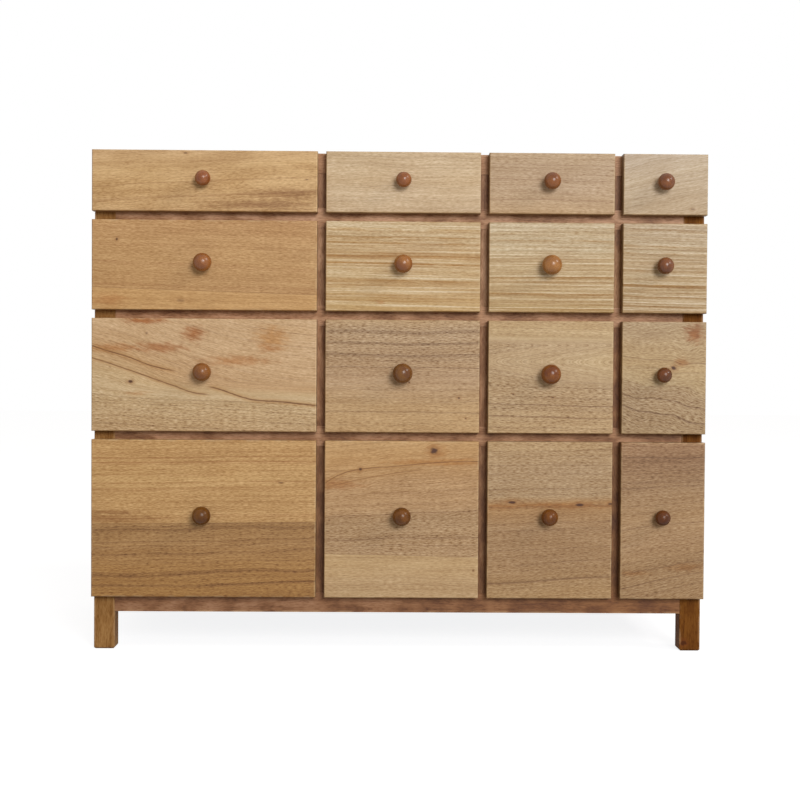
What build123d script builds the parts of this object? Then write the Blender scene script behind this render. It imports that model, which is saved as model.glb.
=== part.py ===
"""A small chest of sixteen drawers, four rows of four, on short square legs.

The drawers get narrower from left to right and taller from top to bottom. Their fronts lie over a
face frame of rails and muntins and cover nearly all of it. Each front carries one turned ball knob.

Millimetres. +Z is up and +X is to the right of a person who faces the drawers, so the drawers open
towards -Y. The origin is on the floor under the middle of the whole chest, knobs included.
Until a piece is saved, Y is counted from the front face of the frame.
"""

from build123d import *
import os

# Drawer fronts, with the columns counted from the left and the rows from the top
FIRST_COLUMN_WIDTH = 225.0
SECOND_COLUMN_WIDTH = 155.0
THIRD_COLUMN_WIDTH = 126.0
FOURTH_COLUMN_WIDTH = 85.0
FIRST_ROW_HEIGHT = 61.0
SECOND_ROW_HEIGHT = 90.0
THIRD_ROW_HEIGHT = 113.0
FOURTH_ROW_HEIGHT = 158.0
FRONT_THICKNESS = 12.0
FRONT_EDGE_RADIUS = 1.0
COLUMN_GAP = 8.5
ROW_GAP = 8.5

# Frame
LEG_CLEARANCE = 38.0  # floor to the underside of the bottom rail
BOTTOM_REVEAL = 16.5  # bottom rail that shows under the lowest fronts
TOP_SETBACK = 0.5  # the top board lies this much below the top edge of the fronts
FRAME_INSET = 0.75  # the fronts stand out this much past each side of the frame
CARCASE_DEPTH = 270.0
POST_WIDTH = 21.0
POST_CORNER_RADIUS = 0.8
FOOT_CHAMFER = 1.5
RAIL_HEIGHT = 20.0
SIDE_RAIL_HEIGHT = 20.0
MUNTIN_WIDTH = 20.0
MUNTIN_RECESS = 1.0  # muntins lie this much behind the face of the rails
TOP_THICKNESS = 20.0
TOP_EDGE_RADIUS = 1.0

# Joints of the frame
RAIL_TENON_LENGTH = 5.5
RAIL_TENON_THICKNESS = 7.0
RAIL_TENON_HEIGHT = 12.0
MUNTIN_TENON_LENGTH = 4.0
MUNTIN_TENON_WIDTH = 8.0
POST_TENON_WIDTH = 9.0
POST_TENON_HEIGHT = 10.0

# Panels, shelves and guides
SIDE_PANEL_THICKNESS = 10.0
SIDE_PANEL_INSET = 3.0  # from the outer faces of the posts
SIDE_PANEL_TONGUE = 4.0  # how far the panel runs into each post
BACK_PANEL_THICKNESS = 5.0
BACK_PANEL_LAP = 8.0  # how far the panel lies over each rear post
SHELF_THICKNESS = 9.0
SHELF_HOUSING = 3.0  # how far a shelf runs into each side
PARTITION_THICKNESS = 9.0
GUIDE_HEIGHT = 12.0

# Drawer boxes
FRONT_SEAT = 0.3  # front to face frame, with the drawer shut
RUN_CLEARANCE = 0.3  # drawer box to shelf
SIDE_CLEARANCE = 0.75  # drawer box to guides, each side
LIFT_CLEARANCE = 1.5  # drawer box to the rail above it
BOX_SIDE_THICKNESS = 8.0
BOX_BACK_THICKNESS = 8.0
BOX_BOTTOM_THICKNESS = 4.0
BOX_BOTTOM_RAISE = 4.0  # underside of the sides to underside of the bottom
BOX_GROOVE_DEPTH = 3.0  # for the bottom and the back, in the sides
FRONT_HOUSING_DEPTH = 4.0  # for the sides and the bottom, in the front
BOX_REAR_SPACE = 6.0  # drawer box to the rear rails

# Knobs, turned by hand in four sizes and set by eye
SMALL_BALL = 15.5
MEDIUM_BALL = 17.0
LARGE_BALL = 18.5
LARGEST_BALL = 20.0
KNOB_NECK_DIAMETER = 8.5
KNOB_NECK_LENGTH = 2.0  # front to the back of the ball
KNOB_COLLAR_DIAMETER = 11.0
KNOB_COLLAR_THICKNESS = 1.2
KNOB_TENON_DIAMETER = 6.5
KNOB_TENON_LENGTH = 7.0
KNOB_RISES = (1.5, 2.0, 3.0, 4.0)  # above the middle of the front, by row
KNOB_SHIFTS = (-1.0, 0.0, -1.0, -1.5)  # to the right of the middle of the front, by column

# Screws of the back panel
SCREW_LENGTH = 15.0
SCREW_SHANK_DIAMETER = 3.0
SCREW_HEAD_DIAMETER = 6.0
SCREW_HEAD_DEPTH = 1.6
SCREW_SLOT_WIDTH = 0.8
SCREW_SLOT_DEPTH = 0.7

FRONT_WIDTHS = (FIRST_COLUMN_WIDTH, SECOND_COLUMN_WIDTH, THIRD_COLUMN_WIDTH, FOURTH_COLUMN_WIDTH)
FRONT_HEIGHTS = (FIRST_ROW_HEIGHT, SECOND_ROW_HEIGHT, THIRD_ROW_HEIGHT, FOURTH_ROW_HEIGHT)
BALL_DIAMETERS = (
    (SMALL_BALL, SMALL_BALL, MEDIUM_BALL, MEDIUM_BALL),
    (LARGE_BALL, LARGE_BALL, LARGEST_BALL, MEDIUM_BALL),
    (LARGE_BALL, LARGEST_BALL, LARGEST_BALL, SMALL_BALL),
    (LARGE_BALL, LARGE_BALL, MEDIUM_BALL, SMALL_BALL),
)
ROWS = range(len(FRONT_HEIGHTS))
COLUMNS = range(len(FRONT_WIDTHS))
TOP_ROW = ROWS[0]
STANDING = (Align.CENTER, Align.CENTER, Align.MIN)
HANGING = (Align.CENTER, Align.CENTER, Align.MAX)


def spans(sizes, gap, start):
    """(low, high) of each size in turn, with a gap between neighbours."""
    found = []
    for size in sizes:
        found.append((start, start + size))
        start += size + gap
    return found


def middle(span):
    return (span[0] + span[1]) / 2


def around(centre, size):
    """The span of that size about a centre."""
    return (centre - size / 2, centre + size / 2)


def mirrored(span):
    """The same span on the other side of the middle of the chest."""
    return (-span[1], -span[0])


def block(x, y, z):
    """A box that fills three spans."""
    corner = Pos(x[0], y[0], z[0])
    return corner * Box(x[1] - x[0], y[1] - y[0], z[1] - z[0], align=(Align.MIN,) * 3)


# Where the fronts are
chest_width = sum(FRONT_WIDTHS) + COLUMN_GAP * (len(FRONT_WIDTHS) - 1)
lowest_front = LEG_CLEARANCE + BOTTOM_REVEAL
front_x = spans(FRONT_WIDTHS, COLUMN_GAP, -chest_width / 2)
front_z = spans(FRONT_HEIGHTS[::-1], ROW_GAP, lowest_front)[::-1]
front_y = (-FRONT_SEAT - FRONT_THICKNESS, -FRONT_SEAT)
knob_reach = KNOB_NECK_LENGTH + max(max(row) for row in BALL_DIAMETERS)
middle_y = (CARCASE_DEPTH + front_y[0] - knob_reach) / 2

# Where the frame is
frame_side = chest_width / 2 - FRAME_INSET
top_z = (front_z[TOP_ROW][1] - TOP_SETBACK - TOP_THICKNESS, front_z[TOP_ROW][1] - TOP_SETBACK)
frame_y = (0.0, POST_WIDTH)
rear_post_y = (CARCASE_DEPTH - POST_WIDTH, CARCASE_DEPTH)
rear_rail_y = (rear_post_y[0], CARCASE_DEPTH - BACK_PANEL_THICKNESS)
inside_y = (frame_y[1], rear_post_y[0])
left_post_x = (-frame_side, -frame_side + POST_WIDTH)
right_post_x = mirrored(left_post_x)
panel_side = frame_side - SIDE_PANEL_INSET
inner_side = panel_side - SIDE_PANEL_THICKNESS
side_panel_x = [(-panel_side, -inner_side), (inner_side, panel_side)]
side_panel_y = (inside_y[0] - SIDE_PANEL_TONGUE, inside_y[1] + SIDE_PANEL_TONGUE)
side_rail_x = [(-frame_side, -inner_side), (inner_side, frame_side)]
side_rail_z = (LEG_CLEARANCE, LEG_CLEARANCE + SIDE_RAIL_HEIGHT)
side_panel_z = (side_rail_z[1], top_z[0])
back_panel_side = frame_side - POST_WIDTH + BACK_PANEL_LAP
back_panel_z = (LEG_CLEARANCE, top_z[0])
post_places = [(x, y) for x in (left_post_x, right_post_x) for y in (frame_y, rear_post_y)]

# The rails run the whole width, one under each row. The muntins stand between them.
gap_middles_z = [(front_z[row][0] + front_z[row + 1][1]) / 2 for row in ROWS[:-1]]
rail_z = [around(z, RAIL_HEIGHT) for z in gap_middles_z]
rail_z.append((LEG_CLEARANCE, LEG_CLEARANCE + RAIL_HEIGHT))
gap_middles_x = [(front_x[column][1] + front_x[column + 1][0]) / 2 for column in COLUMNS[:-1]]
muntin_x = [around(x, MUNTIN_WIDTH) for x in gap_middles_x]
partition_x = [around(x, PARTITION_THICKNESS) for x in gap_middles_x]

# The openings that the drawer boxes pass through, and the cells behind them
ceilings = [top_z[0]] + [rail[0] for rail in rail_z[:-1]]
opening_z = [(rail_z[row][1], ceilings[row]) for row in ROWS]
cell_ceilings = [top_z[0]] + [rail[1] - SHELF_THICKNESS for rail in rail_z[:-1]]
cell_z = [(rail_z[row][1], cell_ceilings[row]) for row in ROWS]
left_edges = [left_post_x[1]] + [x[1] for x in muntin_x]
right_edges = [x[0] for x in muntin_x] + [right_post_x[0]]
opening_x = list(zip(left_edges, right_edges))
left_walls = [-inner_side] + [x[1] for x in partition_x]
right_walls = [x[0] for x in partition_x] + [inner_side]
cell_x = list(zip(left_walls, right_walls))


def post_tenon(x, y):
    """Joins a post to the top board."""
    height = (top_z[0], top_z[0] + POST_TENON_HEIGHT)
    return block(around(middle(x), POST_TENON_WIDTH), around(middle(y), POST_TENON_WIDTH), height)


def rail_tenons(y, z):
    """Both end tenons of a rail that runs between two posts."""
    thickness = around(middle(y), RAIL_TENON_THICKNESS)
    height = around(middle(z), RAIL_TENON_HEIGHT)
    left = (left_post_x[1] - RAIL_TENON_LENGTH, left_post_x[1])
    return [block(left, thickness, height), block(mirrored(left), thickness, height)]


def side_rail_tenons(x):
    """Both end tenons of a rail that runs from a front post to a rear post."""
    thickness = around(middle(x), RAIL_TENON_THICKNESS)
    height = around(middle(side_rail_z), RAIL_TENON_HEIGHT)
    front = (inside_y[0] - RAIL_TENON_LENGTH, inside_y[0])
    rear = (inside_y[1], inside_y[1] + RAIL_TENON_LENGTH)
    return [block(thickness, front, height), block(thickness, rear, height)]


def muntin_tenons(column, row):
    """Upper and lower tenon of one muntin."""
    x = around(gap_middles_x[column], MUNTIN_TENON_WIDTH)
    y = around(middle(frame_y), MUNTIN_TENON_WIDTH)
    low, high = opening_z[row]
    return [
        block(x, y, (low - MUNTIN_TENON_LENGTH, low)),
        block(x, y, (high, high + MUNTIN_TENON_LENGTH)),
    ]


all_muntin_tenons = [t for row in ROWS for column in COLUMNS[:-1] for t in muntin_tenons(column, row)]
all_rail_tenons = [t for z in rail_z for y in (frame_y, rear_rail_y) for t in rail_tenons(y, z)]
all_side_rail_tenons = [t for x in side_rail_x for t in side_rail_tenons(x)]
all_post_tenons = [post_tenon(x, y) for x, y in post_places]


def make_screw(x, z):
    """A countersunk screw with its head flush in the back panel, before its slot is cut."""
    shank_radius = SCREW_SHANK_DIAMETER / 2
    head = Cone(shank_radius, SCREW_HEAD_DIAMETER / 2, SCREW_HEAD_DEPTH, align=HANGING)
    shank = Cylinder(shank_radius, SCREW_LENGTH, align=HANGING)
    return Pos(x, CARCASE_DEPTH, z) * Rot(-90, 0, 0) * (head + shank)


def slotted(screw, x, z):
    """The screw with the slot in its head."""
    depth = (CARCASE_DEPTH - SCREW_SLOT_DEPTH, CARCASE_DEPTH)
    slot = block(around(x, SCREW_HEAD_DIAMETER), depth, around(z, SCREW_SLOT_WIDTH))
    return screw - slot


post_screw_x = left_post_x[1] - BACK_PANEL_LAP / 2
screw_places = [(side * post_screw_x, middle(opening_z[row])) for side in (1, -1) for row in ROWS]
screw_places += [(x, middle(z)) for x in gap_middles_x for z in rail_z[1::2]]
screws = [make_screw(x, z) for x, z in screw_places]


def make_posts():
    """Four corner posts that run down into the legs, grooved and mortised for what they hold."""
    cuts = [block(x, side_panel_y, side_panel_z) for x in side_panel_x]
    cuts += [plain_back_panel()] + all_rail_tenons + all_side_rail_tenons + screws
    posts = []
    for x, y in post_places:
        post = block(x, y, (0, top_z[0]))
        post = chamfer(post.faces().sort_by(Axis.Z)[0].edges(), FOOT_CHAMFER)
        post = fillet(post.edges().filter_by(Axis.Z), POST_CORNER_RADIUS)
        posts.append(post + post_tenon(x, y) - cuts)
    return posts


def make_top_board():
    board = block((-frame_side, frame_side), (0, CARCASE_DEPTH), top_z)
    board = fillet(board.faces().sort_by(Axis.Z)[-1].edges(), TOP_EDGE_RADIUS)
    return [board - all_post_tenons - all_muntin_tenons]


def make_front_rails():
    inner_x = (left_post_x[1], right_post_x[0])
    return [block(inner_x, frame_y, z) + rail_tenons(frame_y, z) - all_muntin_tenons for z in rail_z]


def make_rear_rails():
    inner_x = (left_post_x[1], right_post_x[0])
    return [block(inner_x, rear_rail_y, z) + rail_tenons(rear_rail_y, z) - screws for z in rail_z]


def make_side_rails():
    """The low rail at each side, rebated along its top for the bottom shelf."""
    shelf = make_shelf(rail_z[-1])
    return [block(x, inside_y, side_rail_z) + side_rail_tenons(x) - shelf for x in side_rail_x]


def make_muntins():
    muntin_y = (MUNTIN_RECESS, frame_y[1])
    muntins = []
    for row in ROWS:
        for column in COLUMNS[:-1]:
            muntin = block(muntin_x[column], muntin_y, opening_z[row])
            muntins.append(muntin + muntin_tenons(column, row))
    return muntins


def make_shelf(rail):
    reach = inner_side + SHELF_HOUSING
    return block((-reach, reach), inside_y, (rail[1] - SHELF_THICKNESS, rail[1]))


def make_shelves():
    """One shelf behind each front rail, level with its top, for a row of drawers to run on."""
    return [make_shelf(rail) for rail in rail_z]


def make_side_panels():
    return [block(x, side_panel_y, side_panel_z) - make_shelves() for x in side_panel_x]


def plain_back_panel():
    """The back panel before its screw holes, as wide as the rebates of the rear posts let it be."""
    return block((-back_panel_side, back_panel_side), (rear_rail_y[1], CARCASE_DEPTH), back_panel_z)


def make_back_panel():
    return [plain_back_panel() - screws]


def make_partitions():
    return [block(partition_x[column], inside_y, cell_z[row]) for row in ROWS for column in COLUMNS[:-1]]


def make_guides():
    """Two strips in each cell that keep its drawer box in line with the opening."""
    guides = []
    for row in ROWS:
        guide_z = (cell_z[row][0], cell_z[row][0] + GUIDE_HEIGHT)
        for column in COLUMNS:
            guides.append(block((cell_x[column][0], opening_x[column][0]), inside_y, guide_z))
            guides.append(block((opening_x[column][1], cell_x[column][1]), inside_y, guide_z))
    return guides


def make_drawer(row, column):
    """Front, box pieces and knob of one drawer, shut."""
    left, right = opening_x[column]
    box_x = (left + SIDE_CLEARANCE, right - SIDE_CLEARANCE)
    box_y = (front_y[1] - FRONT_HOUSING_DEPTH, inside_y[1] - BOX_REAR_SPACE)
    box_z = (opening_z[row][0] + RUN_CLEARANCE, opening_z[row][1] - LIFT_CLEARANCE)
    inside_x = (box_x[0] + BOX_SIDE_THICKNESS, box_x[1] - BOX_SIDE_THICKNESS)
    grooved_x = (inside_x[0] - BOX_GROOVE_DEPTH, inside_x[1] + BOX_GROOVE_DEPTH)
    bottom_low = box_z[0] + BOX_BOTTOM_RAISE
    bottom_z = (bottom_low, bottom_low + BOX_BOTTOM_THICKNESS)

    bottom = block(grooved_x, box_y, bottom_z)
    back = block(grooved_x, (box_y[1] - BOX_BACK_THICKNESS, box_y[1]), (bottom_z[1], box_z[1]))
    left_side = block((box_x[0], inside_x[0]), box_y, box_z) - bottom - back
    right_side = block((inside_x[1], box_x[1]), box_y, box_z) - bottom - back

    knob = make_knob(row, column)
    front = block(front_x[column], front_y, front_z[row])
    front = fillet(front.faces().sort_by(Axis.Y)[0].edges(), FRONT_EDGE_RADIUS)
    front = front - [left_side, right_side, bottom, knob]
    return {"front": [front], "box": [left_side, right_side, back, bottom], "knob": [knob]}


def make_knob(row, column):
    """A turned ball on a short neck, with a collar against the front and a tenon glued into it."""
    diameter = BALL_DIAMETERS[row][column]
    x = middle(front_x[column]) + KNOB_SHIFTS[column]
    z = middle(front_z[row]) + KNOB_RISES[row]
    ball_height = KNOB_NECK_LENGTH + diameter / 2
    ball = Pos(0, 0, ball_height) * Sphere(diameter / 2)
    neck = Cylinder(KNOB_NECK_DIAMETER / 2, ball_height, align=STANDING)
    collar = Cylinder(KNOB_COLLAR_DIAMETER / 2, KNOB_COLLAR_THICKNESS, align=STANDING)
    tenon = Cylinder(KNOB_TENON_DIAMETER / 2, KNOB_TENON_LENGTH, align=HANGING)
    return Pos(x, front_y[0], z) * Rot(90, 0, 0) * (ball + neck + collar + tenon)


def save(name, pieces):
    """Writes one sub-part, with Y counted from the middle of the chest."""
    moved = [Pos(0, -middle_y, 0) * piece for piece in pieces]
    shape = moved[0] if len(moved) == 1 else Compound(children=moved)
    export_step(shape, f"parts/{name}.step")


os.makedirs("parts", exist_ok=True)
save("top_board", make_top_board())
save("corner_posts", make_posts())
save("front_rails", make_front_rails())
save("rear_rails", make_rear_rails())
save("side_rails", make_side_rails())
save("muntins", make_muntins())
save("shelves", make_shelves())
save("side_panels", make_side_panels())
save("back_panel", make_back_panel())
save("partitions", make_partitions())
save("drawer_guides", make_guides())
save("back_panel_screws", [slotted(screw, x, z) for screw, (x, z) in zip(screws, screw_places)])
for row in ROWS:
    for column in COLUMNS:
        for piece_name, pieces in make_drawer(row, column).items():
            save(f"drawer_{row + 1}_{column + 1}_{piece_name}", pieces)
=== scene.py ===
"""Finishes, light and camera for a small chest of sixteen drawers.

Places and lamps are in metres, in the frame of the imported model. The patterns of the wood are in
millimetres: u runs along the grain, v across it over the face and w through the thickness.
On a drawer front u is counted from the left edge, v from the top edge and w from the face.
"""

import math

import bpy
from mathutils import Matrix, Vector


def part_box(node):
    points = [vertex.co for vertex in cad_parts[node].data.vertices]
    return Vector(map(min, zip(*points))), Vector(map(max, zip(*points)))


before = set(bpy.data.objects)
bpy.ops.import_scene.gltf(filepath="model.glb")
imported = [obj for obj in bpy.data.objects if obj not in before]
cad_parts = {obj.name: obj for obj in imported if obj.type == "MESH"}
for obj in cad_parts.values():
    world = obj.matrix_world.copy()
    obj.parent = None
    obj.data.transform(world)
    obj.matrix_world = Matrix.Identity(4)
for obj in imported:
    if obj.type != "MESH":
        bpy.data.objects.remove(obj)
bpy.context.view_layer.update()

MM = 0.001
ROWS = (1, 2, 3, 4)
COLUMNS = (1, 2, 3, 4)
BAND_HEIGHT = 100.0  # that the bands of a plain piece go down before they turn back
SEED_STEP = 317.0  # millimetres of grain between one seed and the next

# Camera
CAMERA_PLACE = (-0.0198, -1.5892, 0.2841)
CAMERA_YAW = 0.80  # degrees towards +X
CAMERA_PITCH = -1.19
CAMERA_ROLL = 0.38
LENS = 65.47
SENSOR = 36.0

# Light
LIGHT_TARGET = (0.0, -0.12, 0.27)
FILL = 0.36  # strength of the world
FILL_TINT = (1.0, 0.90, 0.78)
FLOOR_GLOW = (0.843, 0.853, 0.868)  # seen by the camera and in reflections only
FLOOR_SIDE = 16.0
LAMPS = (  # name, azimuth, elevation, distance, width, watts, colour
    ("key", 16, 17, 4.0, 1.58, 92, (1.0, 1.0, 1.0)),
    ("side", 65, 34, 4.0, 0.83, 28, (1.0, 0.97, 0.93)),
)


def paint(red, green, blue):
    """A linear colour from 0 to 255 screen values."""
    linear = []
    for value in (red, green, blue):
        part = value / 255
        linear.append(part / 12.92 if part <= 0.04045 else ((part + 0.055) / 1.055) ** 2.4)
    return (*linear, 1.0)


def feed(tree, value, socket):
    """Gives a socket a field's link or a fixed value."""
    if isinstance(value, Field):
        tree.links.new(value.socket, socket)
    else:
        socket.default_value = value


class Field:
    """A value that varies over a surface. Arithmetic on it makes Math nodes."""

    def __init__(self, tree, socket):
        self.tree = tree
        self.socket = socket

    def math(self, operation, *others):
        node = self.tree.nodes.new("ShaderNodeMath")
        node.operation = operation
        for socket, value in zip(node.inputs, (self, *others)):
            feed(self.tree, value, socket)
        return Field(self.tree, node.outputs[0])

    def __add__(self, other):
        return self.math("ADD", other)

    def __sub__(self, other):
        return self.math("SUBTRACT", other)

    def __mul__(self, other):
        return self.math("MULTIPLY", other)

    def __truediv__(self, other):
        return self.math("DIVIDE", other)

    def __pow__(self, other):
        return self.math("POWER", other)

    def __rsub__(self, other):
        return self.math("MULTIPLY_ADD", -1.0, other)

    __radd__ = __add__
    __rmul__ = __mul__

    def size(self):
        return self.math("ABSOLUTE")

    def least(self, other):
        return self.math("MINIMUM", other)

    def most(self, other):
        return self.math("MAXIMUM", other)

    def smooth(self, low, high, start=0.0, end=1.0):
        """Goes from start to end as this field goes from low to high, and stays there."""
        node = self.tree.nodes.new("ShaderNodeMapRange")
        node.interpolation_type = "SMOOTHSTEP"
        for socket, value in zip(node.inputs, (self, low, high, start, end)):
            feed(self.tree, value, socket)
        return Field(self.tree, node.outputs[0])


def node_mix(tree, first, second, amount, blend="MIX"):
    """A blend of two colours."""
    node = tree.nodes.new("ShaderNodeMix")
    node.data_type = "RGBA"
    node.blend_type = blend
    feed(tree, amount, node.inputs[0])
    feed(tree, first, node.inputs[6])
    feed(tree, second, node.inputs[7])
    return Field(tree, node.outputs[2])


class Finish:
    """One material and the nodes that draw it."""

    def __init__(self, name):
        self.material = bpy.data.materials.new(name)
        self.material.use_nodes = True
        self.tree = self.material.node_tree
        self.shader = self.tree.nodes["Principled BSDF"]
        coordinates = self.tree.nodes.new("ShaderNodeTexCoord")
        self.x, self.y, self.z = self.split(coordinates.outputs["Object"], 1 / MM)
        self.nx, self.ny, self.nz = self.split(coordinates.outputs["Normal"], 1.0)

    def split(self, socket, scale):
        scaled = self.tree.nodes.new("ShaderNodeVectorMath")
        scaled.operation = "SCALE"
        scaled.inputs["Scale"].default_value = scale
        self.tree.links.new(socket, scaled.inputs[0])
        parts = self.tree.nodes.new("ShaderNodeSeparateXYZ")
        self.tree.links.new(scaled.outputs[0], parts.inputs[0])
        return [Field(self.tree, output) for output in parts.outputs]

    def point(self, x, y, z):
        node = self.tree.nodes.new("ShaderNodeCombineXYZ")
        for socket, value in zip(node.inputs, (x, y, z)):
            feed(self.tree, value, socket)
        return Field(self.tree, node.outputs[0])

    def noise(self, x, y, z, detail=2.0, roughness=0.5):
        """Smooth random values, from about 0.2 to 0.8."""
        node = self.tree.nodes.new("ShaderNodeTexNoise")
        feed(self.tree, self.point(x, y, z), node.inputs["Vector"])
        node.inputs["Scale"].default_value = 1.0
        node.inputs["Detail"].default_value = detail
        node.inputs["Roughness"].default_value = roughness
        return Field(self.tree, node.outputs[0])

    def chance(self, x, y=0.0):
        """An even random value from 0 to 1 for each whole x and y."""
        node = self.tree.nodes.new("ShaderNodeTexWhiteNoise")
        node.noise_dimensions = "2D"
        feed(self.tree, self.point(x, y, 0.0), node.inputs["Vector"])
        return Field(self.tree, node.outputs["Value"])

    def mix(self, first, second, amount, blend="MIX"):
        return node_mix(self.tree, first, second, amount, blend)

    def scaled(self, colour, amount):
        node = self.tree.nodes.new("ShaderNodeVectorMath")
        node.operation = "SCALE"
        feed(self.tree, colour, node.inputs[0])
        feed(self.tree, amount, node.inputs["Scale"])
        return Field(self.tree, node.outputs[0])

    def toned(self, colour, light):
        """Multiplies a colour by about light. Darker places also get warmer, as they do in wood."""
        light = light.most(0.05)
        node = self.tree.nodes.new("ShaderNodeVectorMath")
        node.operation = "MULTIPLY"
        feed(self.tree, colour, node.inputs[0])
        feed(self.tree, self.point(light, light ** 1.35, light ** 1.9), node.inputs[1])
        return Field(self.tree, node.outputs[0])

    def ramp(self, value, stops):
        """Colour and alpha that go from stop to stop. Each stop is a place from 0 to 1 and a colour."""
        node = self.tree.nodes.new("ShaderNodeValToRGB")
        elements = node.color_ramp.elements
        while len(elements) < len(stops):
            elements.new(0.5)
        for element, stop in zip(elements, stops):
            element.position = stop[0]
        for element, stop in zip(elements, stops):
            element.color = stop[1]
        feed(self.tree, value, node.inputs[0])
        return Field(self.tree, node.outputs[0]), Field(self.tree, node.outputs[1])

    def curve(self, value, points, width, reach):
        """A smooth curve through points. Values run from 0 to width, and heights from -reach to reach."""
        node = self.tree.nodes.new("ShaderNodeFloatCurve")
        line = node.mapping.curves[0]
        while len(line.points) < len(points):
            line.points.new(0.5, 0.5)
        for point, (place, height) in zip(line.points, points):
            point.location = (place / width, 0.5 + height / (2 * reach))
        node.mapping.update()
        feed(self.tree, value / width, node.inputs["Value"])
        return (Field(self.tree, node.outputs[0]) - 0.5) * (2 * reach)

    def finish(self, colour, roughness, height, depth=MM):
        """Sends the patterns to the shader. Height times depth is in metres."""
        bump = self.tree.nodes.new("ShaderNodeBump")
        bump.inputs["Strength"].default_value = 1.0
        bump.inputs["Distance"].default_value = depth
        feed(self.tree, height, bump.inputs["Height"])
        feed(self.tree, colour, self.shader.inputs["Base Color"])
        feed(self.tree, roughness, self.shader.inputs["Roughness"])
        self.tree.links.new(bump.outputs[0], self.shader.inputs["Normal"])
        return self.material

    def gloss(self, level):
        self.shader.inputs["Specular IOR Level"].default_value = level

    def ellipse(self, u, v, place):
        """Distance from the middle of an ellipse, 1 at its edge."""
        middle_u, middle_v, half_u, half_v = place
        across = (u - middle_u) / half_u
        down = (v - middle_v) / half_v
        return (across * across + down * down) ** 0.5


class Timber:
    """How one kind or piece of wood looks."""

    def __init__(self, bands, **changes):
        self.bands = bands  # (v, colour, how porous from 0 to 1) down the face
        self.height = BAND_HEIGHT  # of the face that the bands go down
        self.width = 100.0  # of the face that the curves run across
        self.seed = 0.0
        self.slope = 0.0  # the growth lines go down this much for each millimetre along
        self.slope_low = None  # the same at the lower edge, where it differs
        self.flow = ()  # or how far the lines go down, as (u, v) points
        self.flow_end = 0.0  # below this v the lines follow the slope only
        self.arch = ()  # nested arches: tip u, middle v, opening, half height
        self.spacing = 7.0  # of the growth lines
        self.lines = 0.5  # how dark they are
        self.fade = 4.0  # how quickly each one fades
        self.fine = 0.25  # darkness of the finer lines between them
        self.pores = 0.5
        self.flecks = 0.80  # how strongly the pores speckle the wood
        self.grit = 0.30  # speckle of the wood without pores
        self.streaks = 0.45  # long straight changes of tone
        self.wave = 1.2  # how far the lines wander
        self.wave_length = 70.0
        self.patches = 0.05  # slow changes of tone
        self.patch_length = 60.0
        self.ink = paint(160, 118, 78)  # what the lines and pores multiply the colour by
        self.tint = None  # colour of the slow patches
        self.marks = ()  # (v, darkness, width) of single dark lines along the grain
        self.knots = ()  # (u, v, half length, half height, darkness)
        self.stains = ()  # ((u, v, half length, half height), colour, amount)
        self.strokes = ()  # (points, width, darkness, start u, end u) of curved dark lines
        self.roughness = 0.50
        self.shine = 0.35  # specular level
        for name, value in changes.items():
            setattr(self, name, value)


KNOT_CORE = paint(70, 34, 8)
KNOT_HALO = paint(150, 102, 54)
STROKE_INK = paint(98, 56, 22)
STROKE_GLOW = paint(176, 128, 70)
GLUE_LINE = paint(120, 84, 50)
WORN_FRONT = paint(222, 196, 156)
WORN_FRAME = paint(205, 168, 126)
FRONT_SHINE = 0.35  # specular level
BOX_SHINE = 0.3


def growth(finish, u, along, v, w, look):
    """How far across the growth lines each place is, in millimetres from the top edge of the face."""
    bend = finish.noise(along / look.wave_length, v / 24.0, w / 24.0, detail=1.0)
    ring = v + w * 0.6 + (bend - 0.5) * (4.0 * look.wave)
    if look.slope_low is not None:
        ring = ring - u * v.smooth(0.0, look.height, look.slope, look.slope_low)
    elif look.slope:
        ring = ring - u * look.slope
    if look.flow:
        shift = finish.curve(u, look.flow, look.width, 100.0)
        ring = ring - shift * v.smooth(look.flow_end - 12.0, look.flow_end + 12.0, 1.0, 0.0)
    if look.arch:
        tip, middle, opening, half = look.arch
        off = v - middle
        nested = (off * off + 9.0) ** 0.5 * 1.3 - (u - tip) * opening + middle
        ring = ring + (nested - ring) * off.size().smooth(half * 0.6, half, 1.0, 0.0)
    return ring


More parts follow.
